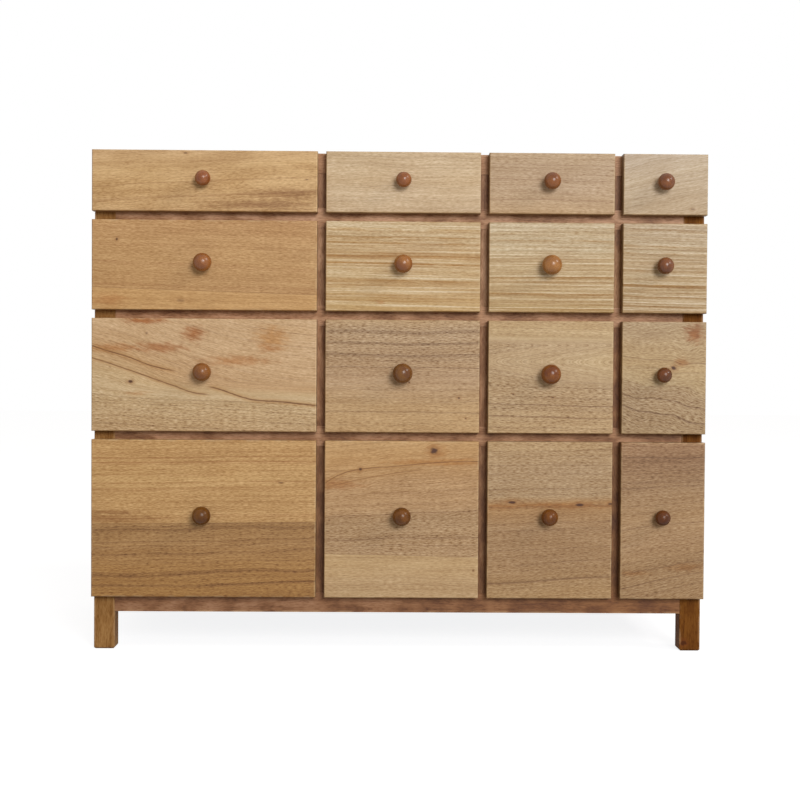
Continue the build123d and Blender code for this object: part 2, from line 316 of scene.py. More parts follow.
def timber(finish, u, v, w, look):
    """Colour, roughness and height in millimetres of a piece of wood."""
    along = u + look.seed * SEED_STEP
    edge = finish.noise(along / 7.0, v / 4.0, w / 4.0, detail=2.0)
    ring = growth(finish, u, along, v, w, look)
    knot_core = None
    knot_halo = None
    for middle_u, middle_v, half_u, half_v, dark in look.knots:
        away = finish.ellipse(u, v, (middle_u, middle_v, half_u, half_v))
        ring = ring - (v - middle_v) * away.smooth(0.5, 4.5, 0.55, 0.0)
        ragged = away + (edge - 0.5) * 1.2
        core = ragged.smooth(0.35, 1.05, dark, 0.0)
        halo = ragged.smooth(0.8, 2.4, dark * 0.5, 0.0)
        knot_core = core if knot_core is None else knot_core.most(core)
        knot_halo = halo if knot_halo is None else knot_halo.most(halo)

    stops = [(place / look.height, (*shade[:3], porous)) for place, shade, porous in look.bands]
    colour, porous = finish.ramp(ring / look.height, stops)

    slow = finish.noise(along / look.patch_length, ring / 12.0, w / 20.0, detail=2.0)
    uneven = finish.noise(ring / (look.spacing * 2.3), look.seed, along / 900.0, detail=1.0)
    phase = ring / look.spacing + uneven * 2.4
    index = phase.math("FLOOR")
    part = phase - index
    heavy = finish.chance(index, look.seed)
    fade = (1.0 - part) ** look.fade * part.smooth(0.0, 0.14)
    fine_phase = ring / (look.spacing * 0.29) + uneven * 3.0
    fine_index = fine_phase.math("FLOOR")
    fine = (1.0 - (fine_phase - fine_index)) ** 2.0 * finish.chance(fine_index, look.seed + 5.0)
    dashes = finish.noise(along / 4.6, ring / 0.8, w / 0.8, detail=1.5, roughness=0.6)
    pore = dashes.smooth(0.52, 0.68) * (porous * (fade * heavy * 0.9 + 0.35))
    streak = finish.noise(along / 230.0, ring / 2.1, w / 2.1, detail=3.0, roughness=0.7)
    fibre = finish.noise(along / 14.0, ring / 0.9, w / 0.9, detail=3.0, roughness=0.6)
    breaks = finish.noise(along / 30.0, ring / 3.0, w / 3.0, detail=2.0).smooth(0.34, 0.58, 0.35, 1.0)

    dark = (fade * (heavy * 0.85 + 0.15) * look.lines + fine * look.fine) * breaks + pore * look.pores
    broken = fibre.smooth(0.34, 0.62, 0.55, 1.0)
    for place, strength, width in look.marks:
        away = ring - place
        side = away.smooth(-width * 0.3, 0.0) * away.smooth(0.0, width, 1.0, 0.0)
        dark = dark + side * broken * strength
    if look.tint is not None:
        colour = finish.mix(colour, look.tint, streak.smooth(0.46, 0.66, 0.0, 0.75))
    colour = finish.mix(colour, look.ink, dark.least(1.0), "MULTIPLY")
    speckle = (dashes - 0.5) * (porous * look.flecks + look.grit) * 1.3
    light = 1.0 + (fibre - 0.5) * 0.60 + (slow.smooth(0.34, 0.66) - 0.5) * (look.patches * 2.0)
    light = light - speckle + (streak - 0.5) * look.streaks
    colour = finish.toned(colour, light)

    for place, shade, amount in look.stains:
        away = finish.ellipse(u, v, place) + (edge - 0.5) * 1.4 + (streak - 0.5) * 1.2
        colour = finish.mix(colour, shade, away.smooth(0.1, 1.25, amount, 0.0), "MULTIPLY")
    for points, width, strength, start, end in look.strokes:
        line = finish.curve(u, points, look.width, 200.0)
        away = (v - line + (edge - 0.5) * 0.8).size()
        there = u.smooth(start - 4.0, start + 6.0) * u.smooth(end - 8.0, end + 4.0, 1.0, 0.0)
        glow = away.smooth(width * 0.5, width * 4.0, strength * 0.50, 0.0) * there
        colour = finish.mix(colour, STROKE_GLOW, glow)
        inked = away.smooth(width * 0.3, width, strength, 0.0) * there * broken
        colour = finish.mix(colour, STROKE_INK, inked)
    if knot_core is not None:
        colour = finish.mix(colour, KNOT_HALO, knot_halo)
        colour = finish.mix(colour, KNOT_CORE, knot_core)

    height = fibre * 0.035 - pore * 0.09 - fade * heavy * 0.03
    roughness = look.roughness + pore * 0.16 + (fibre - 0.5) * 0.12 + fade * 0.05
    return colour, roughness, height


def end_grain(finish, colour, normal):
    """Darkens the faces that the grain runs into."""
    return finish.scaled(colour, normal.size().smooth(0.6, 0.9, 1.0, 0.80))


def dress(node, material):
    """Gives a piece of the model its material."""
    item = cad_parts[node]
    item.data.materials.clear()
    item.data.materials.append(material)


# ---------------------------------------------------------------- drawer fronts

# What growth lines and pores multiply the colour of the wood by
TAN_LINES = paint(165, 120, 78)
GREY_LINES = paint(158, 132, 104)
STRAW_LINES = paint(214, 186, 136)
BROWN_LINES = paint(140, 100, 66)

# What a stain multiplies the colour of the wood by
ORANGE = paint(222, 182, 134)
RUST = paint(208, 158, 108)
UMBER = paint(208, 192, 176)
AMBER = paint(238, 214, 178)

# The bands are the base colours down each face. They were chosen with colours measured in the photograph
# at hand, then changed and shifted by one amount for each front.
front_looks = {
    (1, 1): Timber(
        [
            (0, paint(198, 161, 115), 0.25), (26, paint(202, 165, 114), 0.3),
            (42, paint(199, 161, 110), 0.5), (61, paint(193, 155, 106), 0.6),
        ],
        seed=1, slope=-0.05, spacing=9, lines=0.30, pores=0.75, patches=0.10, ink=TAN_LINES,
        marks=((36, 0.25, 2.0), (50, 0.3, 2.5)),
        knots=((93.5, 3.0, 2.2, 0.9, 0.6), (214.0, 28.5, 2.4, 0.8, 0.6)),
        stains=(
            ((192.0, 43.0, 42.0, 7.0), UMBER, 0.9), ((160.0, 54.0, 52.0, 5.0), UMBER, 0.9),
            ((196.0, 54.0, 40.0, 5.0), UMBER, 0.6),
        ),
    ),
    (1, 2): Timber(
        [
            (0, paint(199, 173, 137), 0.35), (30, paint(202, 175, 138), 0.3),
            (45, paint(203, 177, 142), 0.25), (61, paint(193, 165, 129), 0.4),
        ],
        seed=2, slope=0.0, spacing=8, lines=0.22, pores=0.45, wave=2.2, wave_length=55, ink=GREY_LINES,
        marks=((5, 0.35, 1.5), (12, 0.25, 1.2), (36, 0.22, 1.2)),
    ),
    (1, 3): Timber(
        [
            (0, paint(186, 159, 125), 0.45), (15, paint(179, 151, 118), 0.5),
            (36, paint(185, 157, 124), 0.5), (61, paint(182, 150, 110), 0.45),
        ],
        seed=3, slope=0.015, spacing=6.5, lines=0.30, pores=0.6, ink=TAN_LINES,
        marks=((10.5, 0.35, 1.3), (26, 0.25, 1.0), (46, 0.3, 1.2)),
    ),
    (1, 4): Timber(
        [
            (0, paint(189, 170, 148), 0.2), (30, paint(191, 170, 141), 0.25),
            (61, paint(185, 161, 129), 0.3),
        ],
        seed=4, slope=-0.22, spacing=8, lines=0.26, pores=0.35, wave=1.6, ink=GREY_LINES,
        knots=((70.0, 55.0, 2.4, 1.2, 0.45),),
    ),
    (2, 1): Timber(
        [
            (0, paint(188, 146, 97), 0.5), (30, paint(189, 149, 99), 0.5), (62, paint(185, 144, 94), 0.5),
            (90, paint(187, 145, 94), 0.5),
        ],
        seed=5, slope=0.03, spacing=8, lines=0.42, pores=0.55, ink=paint(178, 126, 72),
        knots=((25.0, 20.0, 1.5, 1.8, 0.8),),
    ),
    (2, 2): Timber(
        [
            (0, paint(198, 173, 134), 0.5), (18, paint(200, 175, 136), 0.5),
            (35, paint(190, 157, 110), 0.3), (50, paint(202, 176, 134), 0.4),
            (66, paint(190, 157, 108), 0.3), (90, paint(194, 162, 109), 0.3),
        ],
        seed=6, slope=0.012, spacing=9.5, lines=1.05, fade=1.3, fine=0.6, pores=0.4, wave=0.4,
        wave_length=120, patches=0.04, streaks=0.8, ink=STRAW_LINES,
        tint=paint(212, 192, 158),
        marks=((21, 0.5, 2.2), (34, 0.55, 2.5), (58, 0.5, 3.0), (70, 0.45, 2.0)),
        stains=(((55.0, 81.0, 5.0, 2.0), ORANGE, 0.6),),
    ),
    (2, 3): Timber(
        [
            (0, paint(190, 170, 138), 0.55), (28, paint(192, 172, 138), 0.5),
            (38, paint(182, 155, 113), 0.4), (50, paint(191, 166, 125), 0.4),
            (68, paint(184, 156, 113), 0.35), (90, paint(177, 147, 96), 0.3),
        ],
        seed=7, slope=0.0, spacing=8.0, lines=1.0, fade=1.4, fine=0.6, pores=0.45, wave=0.4,
        wave_length=120, patches=0.04, streaks=0.8, ink=STRAW_LINES,
        tint=paint(208, 188, 154), marks=((36, 0.5, 2.4), (60, 0.4, 2.2), (80, 0.4, 1.8)),
    ),
    (2, 4): Timber(
        [
            (0, paint(182, 161, 133), 0.5), (28, paint(180, 158, 124), 0.5),
            (40, paint(176, 149, 110), 0.4), (52, paint(180, 155, 116), 0.4),
            (90, paint(163, 132, 87), 0.4),
        ],
        seed=8, slope=0.02, spacing=7.5, lines=1.0, fade=1.4, fine=0.6, pores=0.45, wave=0.4,
        wave_length=120, patches=0.04, streaks=0.8, ink=STRAW_LINES,
        tint=paint(205, 186, 156), marks=((34, 0.4, 2.0), (46, 0.3, 1.6), (62, 0.4, 2.0)),
    ),
    (3, 1): Timber(
        [
            (0, paint(202, 168, 127), 0.15), (30, paint(196, 159, 115), 0.2),
            (50, paint(204, 175, 132), 0.15), (66, paint(204, 177, 137), 0.15),
            (76, paint(196, 167, 125), 0.7), (113, paint(186, 153, 111), 0.9),
        ],
        seed=9, grit=0.55, slope=0.05, spacing=5.0, lines=0.60, pores=0.6, wave=1.2, ink=BROWN_LINES,
        flow=((0, 0), (30, 6), (75, 20), (120, 31), (165, 39), (225, 43)), flow_end=74,
        knots=(
            (39.0, 63.5, 2.8, 2.0, 0.95), (55.0, 15.0, 1.6, 1.4, 0.5), (18.5, 49.0, 1.0, 0.7, 0.5),
            (74.0, 15.5, 1.0, 0.6, 0.4),
        ),
        stains=(
            ((52.0, 2.0, 26.0, 4.5), RUST, 0.95), ((102.0, 15.0, 13.0, 9.0), RUST, 0.9),
            ((70.0, 29.0, 30.0, 6.0), RUST, 0.75), ((180.0, 20.0, 18.0, 15.0), AMBER, 0.95),
            ((178.0, 29.0, 14.0, 5.0), ORANGE, 0.5), ((146.0, 42.0, 40.0, 6.0), ORANGE, 0.7),
            ((22.0, 30.0, 26.0, 5.0), ORANGE, 0.7), ((45.0, 75.0, 14.0, 3.0), ORANGE, 0.5),
        ),
        strokes=(
            (
                ((0, 27.6), (16, 32.8), (37, 38.8), (56, 46.2), (74, 50.7), (225, 75)),
                1.0, 0.9, -10.0, 84.0,
            ),
            (
                (
                    (0, 39.8), (19, 45.5), (41, 53.0), (64, 61.0), (86, 68.6), (101, 73.9), (116, 76.0),
                    (225, 96),
                ),
                1.0, 0.8, -10.0, 118.0,
            ),
            (
                ((0, 60), (120, 68.6), (131, 71.6), (146, 76.8), (160, 80.6), (190, 82.8), (225, 86.5)),
                1.05, 0.95, 118.0, 240.0,
            ),
        ),
    ),
    (3, 2): Timber(
        [
            (0, paint(188, 156, 115), 0.5), (8, paint(178, 148, 112), 1.0),
            (45, paint(176, 144, 107), 0.8), (60, paint(184, 152, 116), 0.25),
            (85, paint(187, 153, 109), 0.3), (113, paint(188, 153, 107), 0.4),
        ],
        seed=10, grit=0.55, slope=0.0, spacing=7.0, lines=0.55, pores=0.95, wave=1.6,
        ink=paint(140, 112, 86),
        marks=((11, 0.4, 4.0), (23, 0.45, 3.0), (35, 0.45, 4.0), (47, 0.35, 1.5), (92, 0.3, 1.5)),
        knots=((84.5, 62.5, 1.1, 1.1, 0.85), (134.5, 77.8, 1.7, 1.4, 0.8), (141.5, 98.3, 1.1, 1.0, 0.8)),
    ),
    (3, 3): Timber(
        [
            (0, paint(189, 159, 115), 0.3), (20, paint(192, 165, 124), 0.25),
            (45, paint(187, 159, 121), 0.25), (60, paint(179, 150, 112), 0.85),
            (80, paint(178, 148, 109), 0.85), (113, paint(187, 156, 113), 0.5),
        ],
        seed=11, grit=0.50, slope=0.02, spacing=8.5, lines=0.40, pores=0.85, wave=1.2, ink=BROWN_LINES,
        arch=(-6.0, 41.0, 0.20, 26.0),
        marks=((55, 0.3, 1.5), (83, 0.45, 2.0), (95, 0.4, 2.0)),
        knots=((25.4, 73.8, 1.3, 1.0, 0.7), (65.4, 76.8, 1.8, 0.9, 0.7)),
    ),
    (3, 4): Timber(
        [
            (0, paint(175, 149, 114), 0.3), (40, paint(183, 154, 110), 0.15),
            (54, paint(183, 157, 116), 0.15), (64, paint(167, 139, 103), 0.8),
            (113, paint(159, 130, 92), 0.9),
        ],
        seed=12, grit=0.75, slope=0.0, slope_low=0.22, spacing=6.5, lines=0.55, pores=0.8, wave=3.4,
        wave_length=34, ink=BROWN_LINES,
        marks=((36, 0.55, 1.4), (72, 0.5, 1.8), (84, 0.55, 2.0)),
        knots=((52.0, 46.5, 3.2, 2.4, 1.0),),
        stains=(
            ((73.0, 11.0, 11.0, 13.0), RUST, 1.0), ((60.0, 41.0, 9.0, 5.0), ORANGE, 0.8),
            ((24.0, 14.0, 26.0, 8.0), UMBER, 0.35),
        ),
    ),
    (4, 1): Timber(
        [
            (0, paint(190, 149, 96), 0.2), (40, paint(192, 153, 100), 0.2),
            (75, paint(190, 150, 98), 0.3), (90, paint(188, 148, 96), 0.3),
        ],
        seed=13, grit=0.80, streaks=0.65, slope=-0.012, spacing=6.5, lines=0.50, pores=0.4, wave=0.6,
        wave_length=120, ink=paint(178, 126, 74),
        marks=((18.5, 0.35, 1.6), (23, 0.55, 1.8), (49, 0.35, 1.6)),
        knots=((190.0, 42.5, 3.0, 0.8, 0.6),),
        stains=(((16.0, 72.5, 40.0, 3.0), UMBER, 0.95), ((12.0, 79.0, 60.0, 6.0), UMBER, 0.9)),
    ),
    (4, 2): Timber(
        [
            (0, paint(194, 156, 107), 0.15), (22, paint(191, 150, 99), 0.15),
            (46, paint(181, 143, 99), 0.4), (72, paint(185, 149, 107), 0.4),
            (80, paint(171, 138, 99), 0.9), (112, paint(175, 142, 103), 0.9),
        ],
        seed=14, grit=0.50, slope=-0.08, slope_low=0.0, spacing=6.5, lines=0.50, pores=0.75, wave=1.6,
        ink=BROWN_LINES,
        knots=((110.0, 9.5, 4.6, 4.0, 1.0), (36.0, 28.6, 2.2, 2.0, 0.9), (5.0, 80.0, 1.6, 1.0, 0.5)),
        strokes=(
            (((0, 43), (18, 33), (36, 28.5), (70, 25.5), (110, 21.5), (155, 20)), 0.9, 0.7, -10.0, 165.0),
            (((0, 47), (30, 40), (60, 34), (110, 27), (155, 22)), 0.9, 0.4, -10.0, 100.0),
        ),
        marks=((76, 0.5, 1.2), (100, 0.5, 1.6), (106, 0.35, 1.4)),
        stains=(
            ((120.0, 21.0, 60.0, 4.0), AMBER, 0.9), ((10.0, 44.0, 34.0, 6.0), ORANGE, 0.6),
            ((112.0, 10.0, 12.0, 9.0), AMBER, 0.8),
        ),
    ),
    (4, 3): Timber(
        [
            (0, paint(179, 147, 104), 0.5), (30, paint(173, 143, 106), 0.6),
            (57, paint(173, 143, 105), 0.6), (64, paint(169, 129, 82), 0.3),
            (90, paint(165, 131, 92), 0.5), (125, paint(161, 127, 88), 0.5),
            (158, paint(171, 137, 94), 0.5),
        ],
        seed=15, grit=0.70, slope=-0.01, slope_low=-0.07, spacing=7.0, lines=0.55, pores=0.7, wave=0.9,
        ink=BROWN_LINES,
        marks=((24, 0.3, 1.2), (66, 0.35, 2.5), (143, 0.65, 2.0)),
        knots=((24.8, 61.0, 5.6, 1.9, 1.0), (93.5, 63.3, 5.6, 1.9, 1.0), (125.0, 62.0, 3.6, 1.4, 1.0)),
        stains=(((75.0, 64.0, 66.0, 4.0), AMBER, 0.9), ((10.0, 66.0, 24.0, 4.0), AMBER, 0.6)),
    ),
    (4, 4): Timber(
        [
            (0, paint(162, 125, 88), 0.5), (16, paint(152, 117, 82), 0.7), (50, paint(158, 125, 88), 0.5),
            (80, paint(170, 136, 96), 0.3), (110, paint(170, 136, 97), 0.4),
            (130, paint(158, 124, 84), 0.6), (158, paint(162, 129, 90), 0.5),
        ],
        seed=16, grit=0.80, slope=0.0, slope_low=-0.24, spacing=6.0, lines=0.60, pores=0.7, wave=1.4,
        ink=BROWN_LINES,
        marks=(
            (15, 0.55, 1.5), (32, 0.35, 1.5), (40, 0.4, 1.5), (46, 0.4, 1.5), (134, 0.5, 1.8),
            (148, 0.45, 1.8),
        ),
        stains=(
            ((66.0, 126.0, 22.0, 5.0), AMBER, 0.8), ((14.0, 132.0, 20.0, 3.0), AMBER, 0.8),
            ((50.0, 18.0, 60.0, 16.0), UMBER, 0.35),
        ),
    ),
}

# The lower boards of the fronts that are glued up from two, and where each joint runs
lower_boards = {
    (2, 1): (67.5, 74.0, Timber(
        [(0, paint(190, 147, 96), 0.2), (90, paint(195, 153, 99), 0.2)],
        seed=21, grit=0.40, slope=0.02, spacing=16, lines=0.12, pores=0.35, ink=TAN_LINES,
        knots=((88.6, 80.6, 5.0, 2.0, 0.35),),
        stains=(((18.0, 80.0, 20.0, 7.0), ORANGE, 0.5),),
    )),
    (4, 1): (84.6, 82.0, Timber(
        [
            (0, paint(161, 122, 77), 0.9), (95, paint(161, 122, 75), 0.9),
            (110, paint(167, 127, 79), 0.7), (130, paint(167, 125, 73), 0.7),
            (158, paint(159, 116, 63), 0.8),
        ],
        seed=22, grit=0.80, streaks=0.75, slope=-0.03, spacing=5.5, lines=0.75, pores=0.8, wave=2.0,
        wave_length=90, ink=BROWN_LINES,
        flecks=0.2, marks=((92, 0.4, 3.0), (104, 0.3, 2.5), (137, 0.4, 2.0), (149, 0.5, 2.5)),
    )),
    (4, 2): (113.6, 116.4, Timber(
        [
            (0, paint(192, 160, 117), 0.2), (125, paint(193, 161, 117), 0.2),
            (145, paint(187, 155, 114), 0.3), (158, paint(188, 157, 116), 0.3),
        ],
        seed=23, grit=0.45, slope=0.0, spacing=9.0, lines=0.22, pores=0.4, ink=GREY_LINES,
        marks=((145, 0.25, 1.5),), knots=((150.0, 130.0, 0.9, 1.2, 0.7),),
    )),
}


def front_finish(row, column):
    """The finish of one drawer front."""
    name = f"drawer_{row}_{column}_front"
    low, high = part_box(name)
    width = (high.x - low.x) / MM
    height = (high.z - low.z) / MM
    finish = Finish(f"front_wood_{row}_{column}")
    u = finish.x - low.x / MM
    v = high.z / MM - finish.z
    w = finish.y - low.y / MM
    look = front_looks[row, column]
    look.width, look.height = width, height
    colour, roughness, relief = timber(finish, u, v, w, look)
    if (row, column) in lower_boards:
        joint_left, joint_right, lower = lower_boards[row, column]
        lower.width, lower.height = width, height
        other_colour, other_roughness, other_relief = timber(finish, u, v, w, lower)
        below = v - joint_left - u * ((joint_right - joint_left) / width)
        side = below.smooth(-0.15, 0.15)
        colour = finish.mix(colour, other_colour, side)
        roughness = roughness + (other_roughness - roughness) * side
        glue = below.size().smooth(0.0, 0.5, 1.0, 0.0)
        colour = finish.mix(colour, GLUE_LINE, glue * 0.45)
        relief = relief + (other_relief - relief) * side - glue * 0.05
    nearest = u.least(width - u).least(v).least(height - v)
    rubbed = finish.noise(u / 14.0, v / 14.0, w / 6.0, detail=3.0)
    worn = nearest.smooth(0.3, 2.2, 1.0, 0.0) * rubbed.smooth(0.42, 0.6)
    colour = finish.mix(colour, WORN_FRONT, worn * 0.35)
    # Painted shade: the left and bottom edges of each front, which face away from the light, are
    # darkened.
    painted_edge_shade = u.least(height - v).smooth(0.2, 1.5, 1.0, 0.0)
    colour = finish.toned(colour, 1.0 - painted_edge_shade * 0.34)
    handled = finish.noise(u / 70.0, v / 40.0, 3.7, detail=2.0)
    colour = finish.scaled(colour, 1.0 + (handled - 0.5) * 0.10)
    roughness = roughness + (handled - 0.5) * 0.16 - worn * 0.06
    colour = end_grain(finish, colour, finish.nx)
    finish.gloss(FRONT_SHINE)
    return finish.finish(colour, roughness, relief)


# ---------------------------------------------------------------- frame, panels and boxes

def plain_finish(name, look, axes, grain_normal, arris=None, shade=None):
    """A finish for pieces whose patterns follow the axes of the chest."""
    finish = Finish(name)
    u, v, w = axes(finish)
    colour, roughness, relief = timber(finish, u, v, w, look)
    if shade is not None:
        colour = shade(finish, colour)
    colour = end_grain(finish, colour, grain_normal(finish))
    if arris is not None:
        worn = arris(finish).smooth(0.4, 2.6, 1.0, 0.0)
        rubbed = finish.noise(u / 18.0, v / 7.0, w / 7.0, detail=3.0).smooth(0.40, 0.62)
        colour = finish.mix(colour, WORN_FRAME, worn * rubbed * 0.45)
        roughness = roughness - worn * 0.06
    finish.gloss(look.shine)
    return finish.finish(colour, roughness, relief)


# Bands of the other pieces. Those of the rails, posts and muntins were corrected against colours
# measured in the photograph. The rest are guesses.
RAIL = [
    (0, paint(174, 129, 92), 0.5), (40, paint(162, 115, 77), 0.7), (70, paint(180, 137, 100), 0.4),
    (100, paint(168, 122, 84), 0.5),
]
POST = [(0, paint(150, 107, 59), 0.5), (50, paint(138, 95, 49), 0.7), (100, paint(153, 111, 63), 0.5)]
MUNTIN = [(0, paint(168, 124, 86), 0.6), (50, paint(154, 108, 70), 0.7), (100, paint(174, 130, 92), 0.5)]
PANEL = [
    (0, paint(190, 148, 104), 0.5), (40, paint(182, 138, 94), 0.6), (70, paint(194, 152, 108), 0.4),
    (100, paint(186, 144, 100), 0.5),
]
BOX = [(0, paint(212, 184, 142), 0.3), (50, paint(204, 174, 130), 0.4), (100, paint(214, 188, 148), 0.3)]
STREAK = paint(150, 108, 78)
BOX_SIDE = 8.0  # beyond this from a side face, the grain runs across the drawer
POST_HALF = 10.5
MUNTIN_TOP = 500.0
MUNTIN_PAINTED_SHADE = (  # painted shade in the gaps between the fronts: what the wood is multiplied by at each height
    (100, paint(206, 192, 172)), (220, paint(206, 192, 172)), (230, paint(240, 230, 218)),
    (335, paint(240, 230, 218)), (345, paint(255, 255, 255)), (435, paint(255, 255, 255)),
    (445, paint(226, 216, 204)),
)
FOOT_KNOT = (291.0, 8.0, 3.2, 3.0)  # x, z, half width, half height


def waves(value):
    """Goes from 0 to the height of the bands and back, over and over, to stay inside their ramp."""
    return value.math("PINGPONG", BAND_HEIGHT)


def along_x(finish):
    """Grain from left to right, with the broad side facing forwards."""
    return finish.x, waves(finish.z + finish.y * 0.35 + 400.0), finish.y


def along_y(finish):
    """Grain from front to back."""
    return finish.y, waves(finish.z + finish.x * 0.2 + 400.0), finish.x


def along_z(finish):
    """Upright grain in a post or muntin."""
    return finish.z, waves(finish.x + finish.y * 0.6 + 700.0), finish.y - finish.x * 0.6


def flat_board(finish):
    """Grain from left to right in the top board."""
    return finish.x, waves(finish.y + finish.z * 0.7 + 500.0), finish.z


def shelf_board(finish):
    """Grain from left to right in a shelf."""
    return finish.x, waves(finish.y + finish.z * 0.4 + 500.0), finish.z


def side_board(finish):
    """Upright grain in a side panel."""
    return finish.z, waves(finish.y + finish.x * 0.3 + 400.0), finish.x


def back_board(finish):
    """Grain from left to right in the back panel."""
    return finish.x, waves(finish.z + finish.y * 0.5), finish.y


def facing_x(finish):
    return finish.nx


def facing_y(finish):
    return finish.ny


def facing_z(finish):
    return finish.nz


def post_arris(finish):
    """Distance from the long edges of the nearest corner post."""
    low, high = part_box("corner_posts")
    across = POST_HALF - (finish.x.size() - (high.x / MM - POST_HALF)).size()
    middle = (low.y + high.y) / 2 / MM
    reach = (high.y - low.y) / 2 / MM - POST_HALF
    deep = POST_HALF - ((finish.y - middle).size() - reach).size()
    return across.size() + deep.size()


def top_arris(finish):
    """Distance from the outer edges of the top board."""
    low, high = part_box("top_board")
    side = high.x / MM - finish.x.size()
    middle = (low.y + high.y) / 2 / MM
    depth = (high.y - low.y) / 2 / MM - (finish.y - middle).size()
    return side.least(depth).size() + (high.z / MM - finish.z).size()


def painted_muntin_shade(finish, colour):
    """Painted shade in the gaps between the fronts: the muntins are darkened by row, most in the bottom
    row and not in the second, and darker and browner towards the right.
    """
    stops = [(height / MUNTIN_TOP, shade) for height, shade in MUNTIN_PAINTED_SHADE]
    tone = finish.ramp(finish.z / MUNTIN_TOP, stops)[0]
    colour = finish.mix(colour, tone, 1.0, "MULTIPLY")
    return finish.mix(colour, paint(232, 220, 196), finish.x.smooth(100.0, 200.0), "MULTIPLY")


def darker_low(finish, colour):
    """The bottom rail is of browner wood than the upper ones, most of all on the right."""
    low = finish.z.smooth(60.0, 330.0, 1.0, 0.0)
    colour = finish.mix(colour, paint(216, 206, 196), low, "MULTIPLY")
    return finish.mix(colour, paint(222, 202, 158), low * finish.x.smooth(-250.0, 320.0), "MULTIPLY")


def darker_right(finish, colour):
    """The right-hand posts are of browner wood, with a knot near one foot."""
    colour = finish.mix(colour, paint(200, 174, 122), finish.x.smooth(-50.0, 50.0), "MULTIPLY")
    away = finish.ellipse(finish.x, finish.z, FOOT_KNOT)
    ragged = away + (finish.noise(finish.x / 3.0, finish.z / 3.0, 2.0) - 0.5) * 1.6
    front = finish.ny.smooth(-0.7, -0.3, 1.0, 0.0)
    colour = finish.mix(colour, paint(120, 66, 30), ragged.smooth(0.8, 2.4, 0.6, 0.0) * front)
    return finish.mix(colour, paint(70, 34, 16), ragged.smooth(0.5, 1.1, 0.8, 0.0) * front)


def rail_arris(finish):
    """Distance from the lower front edge of the bottom rail."""
    low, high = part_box("front_rails")
    return (finish.z - low.z / MM).size() + (finish.y - low.y / MM).size()


# Specular level by row: the knobs lower down are darker and duller
KNOB_SHINE = {1: 0.50, 2: 0.50, 3: 0.38, 4: 0.26}

# Light and dark wood of each knob, corrected against colours measured in the photograph
KNOB_COLOURS = {
    (1, 1): ((157, 91, 40), (131, 67, 22)), (1, 2): ((153, 89, 36), (125, 67, 22)),
    (1, 3): ((145, 85, 30), (121, 67, 20)), (1, 4): ((140, 82, 33), (116, 62, 19)),
    (2, 1): ((155, 95, 40), (137, 79, 30)), (2, 2): ((165, 107, 46), (137, 79, 30)),
    (2, 3): ((175, 119, 58), (153, 99, 44)), (2, 4): ((131, 73, 22), (103, 53, 10)),
    (3, 1): ((143, 90, 36), (127, 76, 28)), (3, 2): ((129, 84, 30), (107, 62, 16)),
    (3, 3): ((141, 83, 24), (113, 57, 10)), (3, 4): ((117, 62, 12), (93, 48, 6)),
    (4, 1): ((113, 69, 12), (91, 51, 6)), (4, 2): ((121, 74, 22), (97, 56, 10)),
    (4, 3): ((127, 75, 16), (101, 55, 6)), (4, 4): ((104, 55, 12), (80, 39, 6)),
}


def knob_finish(row, column, light, dark):
    """Turned and polished wood, with the growth rings on the end that faces out."""
    low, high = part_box(f"drawer_{row}_{column}_knob")
    centre_x = (low.x + high.x) / 2 / MM
    centre_z = (low.z + high.z) / 2 / MM
    finish = Finish(f"knob_wood_{row}_{column}")
    seed = row * 7.0 + column * 3.0
    across = finish.x - centre_x
    up = finish.z - centre_z
    out = finish.y - low.y / MM
    bend = finish.noise(across / 9.0 + seed, up / 9.0, out / 26.0, detail=2.0)
    pith = (3.0 + row, 5.0 - 2.0 * column)
    far = ((across - pith[0]) ** 2.0 + (up - pith[1]) ** 2.0) ** 0.5
    phase = far / 1.7 + bend * 2.6
    part = phase - phase.math("FLOOR")
    rings = (1.0 - part) ** 3.0
    fibre = finish.noise(across / 0.5 + seed, up / 0.5, out / 7.0, detail=2.0, roughness=0.6)
    tone = finish.noise(across / 10.0, up / 10.0 + seed, out / 12.0, detail=2.0)
    colour = finish.mix(paint(*dark), paint(*light), tone.smooth(0.35, 0.65))
    colour = finish.mix(colour, paint(190, 150, 116), rings * 0.5, "MULTIPLY")
    colour = finish.toned(colour, 1.0 + (fibre - 0.5) * 0.45)
    pore = fibre.smooth(0.58, 0.70)
    colour = finish.mix(colour, paint(60, 32, 20), pore * 0.22)
    # Painted shade: the back of the ball and the neck, where the knob meets the drawer front, are
    # darkened.
    painted_neck_shade = out.smooth(15.0, 22.0, 0.0, 0.5)
    colour = finish.mix(colour, paint(70, 40, 24), painted_neck_shade)
    roughness = 0.26 + (tone - 0.5) * 0.10 + pore * 0.12
    relief = pore * -0.02 - rings * 0.008
    finish.gloss(KNOB_SHINE[row])
    return finish.finish(colour, roughness, relief)


def box_finish(row, column):
    """Bare pale wood: sides with the grain along the drawer, back and bottom with it across."""
    low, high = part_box(f"drawer_{row}_{column}_box")
    finish = Finish(f"box_wood_{row}_{column}")
    seed = row * 4.0 + column
    sides = Timber(
        BOX, seed=seed, spacing=9.0, lines=0.25, pores=0.35, ink=GREY_LINES, roughness=0.62,
    )
    across = Timber(
        BOX, seed=seed + 40, spacing=13.0, lines=0.22, pores=0.3, ink=GREY_LINES, roughness=0.64,
    )
    colour, roughness, relief = timber(finish, finish.y, waves(finish.z + seed * 31.0), finish.x, sides)
    other = timber(finish, finish.x, waves(finish.z * 0.9 + finish.y * 0.6 + 300.0), finish.y, across)
    from_side = (finish.x - low.x / MM).least(high.x / MM - finish.x)
    crosswise = from_side.smooth(BOX_SIDE - 0.1, BOX_SIDE + 0.1)
    colour = finish.mix(colour, other[0], crosswise)
    roughness = roughness + (other[1] - roughness) * crosswise
    relief = relief + (other[2] - relief) * crosswise
    finish.gloss(BOX_SHINE)
    return finish.finish(colour, roughness, relief)


